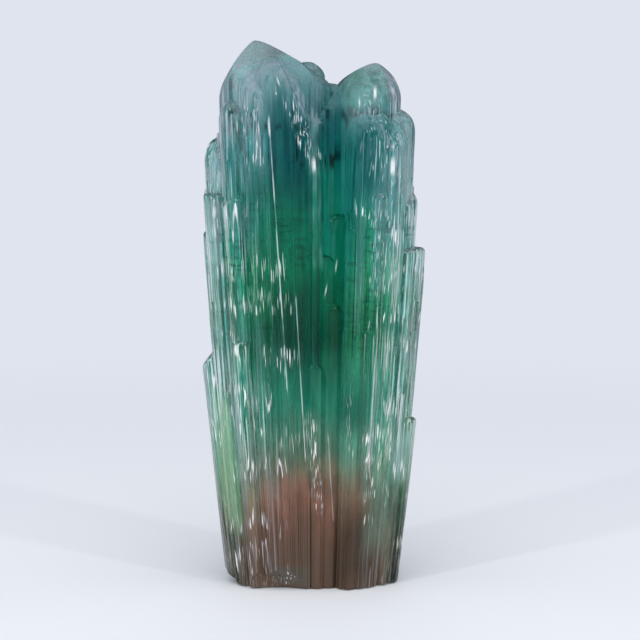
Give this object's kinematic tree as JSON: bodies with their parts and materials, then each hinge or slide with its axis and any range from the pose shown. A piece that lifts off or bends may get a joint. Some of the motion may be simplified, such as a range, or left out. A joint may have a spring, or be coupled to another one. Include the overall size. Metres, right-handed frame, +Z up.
{
  "type": "tourmaline crystal",
  "caption": "Natural green tourmaline: striated prisms grown side by side with stepped, pointed tips, narrowing to a flat broken base it stands on.",
  "frame": {"origin": "on the flat of the broken base, under the middle of the bundle", "axes": "+Z up along the prisms, +X across the broad side, -Y is the broad front that the picture shows"},
  "size_m": [0.0513, 0.0322, 0.125],
  "materials": {
    "tourmaline": "clear green crystal, blue-green at the tips and smoky towards the base, with frosted tips and finely striated sides"
  },
  "bodies": {
    "root": {"tourmaline_crystal": "tourmaline"}
  },
  "joints": []
}
